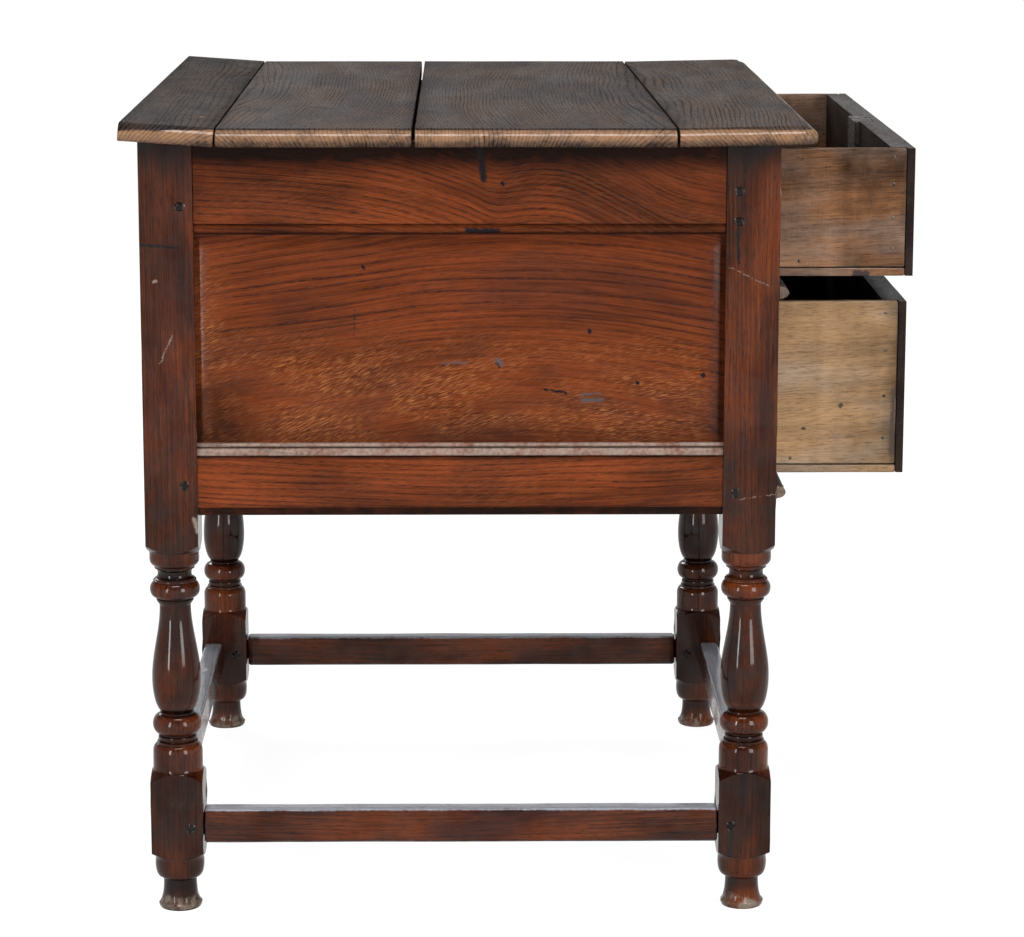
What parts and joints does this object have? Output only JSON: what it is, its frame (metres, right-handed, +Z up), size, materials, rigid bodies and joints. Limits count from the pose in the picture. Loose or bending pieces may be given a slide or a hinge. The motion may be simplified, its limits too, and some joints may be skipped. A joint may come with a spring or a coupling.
{
  "type": "side table",
  "caption": "Joined oak side table: overhanging plank top, panelled sides, turned legs with box stretchers, and stacked drawers with drop pulls that slide out of the front.",
  "frame": {"origin": "on the floor, under the middle of the box that the table fills with its drawers as they stand open", "axes": "+Z up; -Y out of the front, the way the drawers slide; +X to the right of a person facing the drawers"},
  "size_m": [0.812, 0.7546, 0.766],
  "materials": {
    "oak_case": "waxed red-brown oak",
    "oak_leg": "dark waxed oak, worn edges",
    "oak_top": "dark grey-brown rubbed oak",
    "oak_drawer": "dry unfinished oak",
    "iron": "dull dark iron",
    "brass": "worn old brass"
  },
  "bodies": {
    "carcase": {"top_board_1": "oak_top", "top_board_2": "oak_top", "top_board_3": "oak_top", "top_board_4": "oak_top", "leg_front_left": "oak_leg", "leg_front_right": "oak_leg", "leg_back_left": "oak_leg", "leg_back_right": "oak_leg", "side_top_rail_left": "oak_case", "side_panel_left": "oak_case", "side_bottom_rail_left": "oak_case", "side_top_rail_right": "oak_case", "side_panel_right": "oak_case", "side_bottom_rail_right": "oak_case", "back_top_rail": "oak_leg", "back_panel": "oak_leg", "back_bottom_rail": "oak_leg", "front_top_rail": "oak_leg", "front_mid_rail": "oak_leg", "front_bottom_rail": "oak_leg", "mid_moulding": "oak_leg", "bottom_moulding": "oak_leg", "stretcher_front": "oak_leg", "stretcher_back": "oak_leg", "stretcher_left": "oak_leg", "stretcher_right": "oak_leg", "runner_upper_left": "oak_drawer", "runner_upper_right": "oak_drawer", "runner_lower_left": "oak_drawer", "runner_lower_right": "oak_drawer"},
    "upper_drawer": {"upper_drawer_front": "oak_leg", "upper_drawer_side_left": "oak_drawer", "upper_drawer_side_right": "oak_drawer", "upper_drawer_back": "oak_drawer", "upper_drawer_bottom": "oak_drawer", "upper_pull_left_plate": "brass", "upper_pull_left_pin": "brass", "upper_pull_right_plate": "brass", "upper_pull_right_pin": "brass", "lock_case": "iron", "escutcheon": "brass"},
    "lower_drawer": {"lower_drawer_front": "oak_leg", "lower_drawer_side_left": "oak_drawer", "lower_drawer_side_right": "oak_drawer", "lower_drawer_back": "oak_drawer", "lower_drawer_bottom": "oak_drawer", "lower_pull_left_plate": "brass", "lower_pull_left_pin": "brass", "lower_pull_right_plate": "brass", "lower_pull_right_pin": "brass"},
    "lock_bolt": {"lock_bolt": "iron"},
    "upper_left_drop": {"upper_pull_left_drop": "brass"},
    "upper_right_drop": {"upper_pull_right_drop": "brass"},
    "lower_left_drop": {"lower_pull_left_drop": "brass"},
    "lower_right_drop": {"lower_pull_right_drop": "brass"}
  },
  "joints": [
    {"name": "upper_drawer_slide", "type": "slide", "parent": "carcase", "child": "upper_drawer", "axis": [0, -1, 0], "range_m": [-0.131, 0.229]},
    {"name": "lower_drawer_slide", "type": "slide", "parent": "carcase", "child": "lower_drawer", "axis": [0, -1, 0], "range_m": [-0.126, 0.234]},
    {"name": "lock_bolt_slide", "type": "slide", "parent": "upper_drawer", "child": "lock_bolt", "axis": [0, 0, 1], "range_m": [0, 0.006]},
    {"name": "upper_left_drop_swing", "type": "hinge", "parent": "upper_drawer", "child": "upper_left_drop", "pos_m": [-0.165, -0.37114, 0.6667], "axis": [-1, 0, 0], "range_deg": [-5, 85]},
    {"name": "upper_right_drop_swing", "type": "hinge", "parent": "upper_drawer", "child": "upper_right_drop", "pos_m": [0.165, -0.37114, 0.6667], "axis": [-1, 0, 0], "range_deg": [-5, 85]},
    {"name": "lower_left_drop_swing", "type": "hinge", "parent": "lower_drawer", "child": "lower_left_drop", "pos_m": [-0.165, -0.36614, 0.49945], "axis": [-1, 0, 0], "range_deg": [-5, 85]},
    {"name": "lower_right_drop_swing", "type": "hinge", "parent": "lower_drawer", "child": "lower_right_drop", "pos_m": [0.165, -0.36614, 0.49945], "axis": [-1, 0, 0], "range_deg": [-5, 85]}
  ]
}
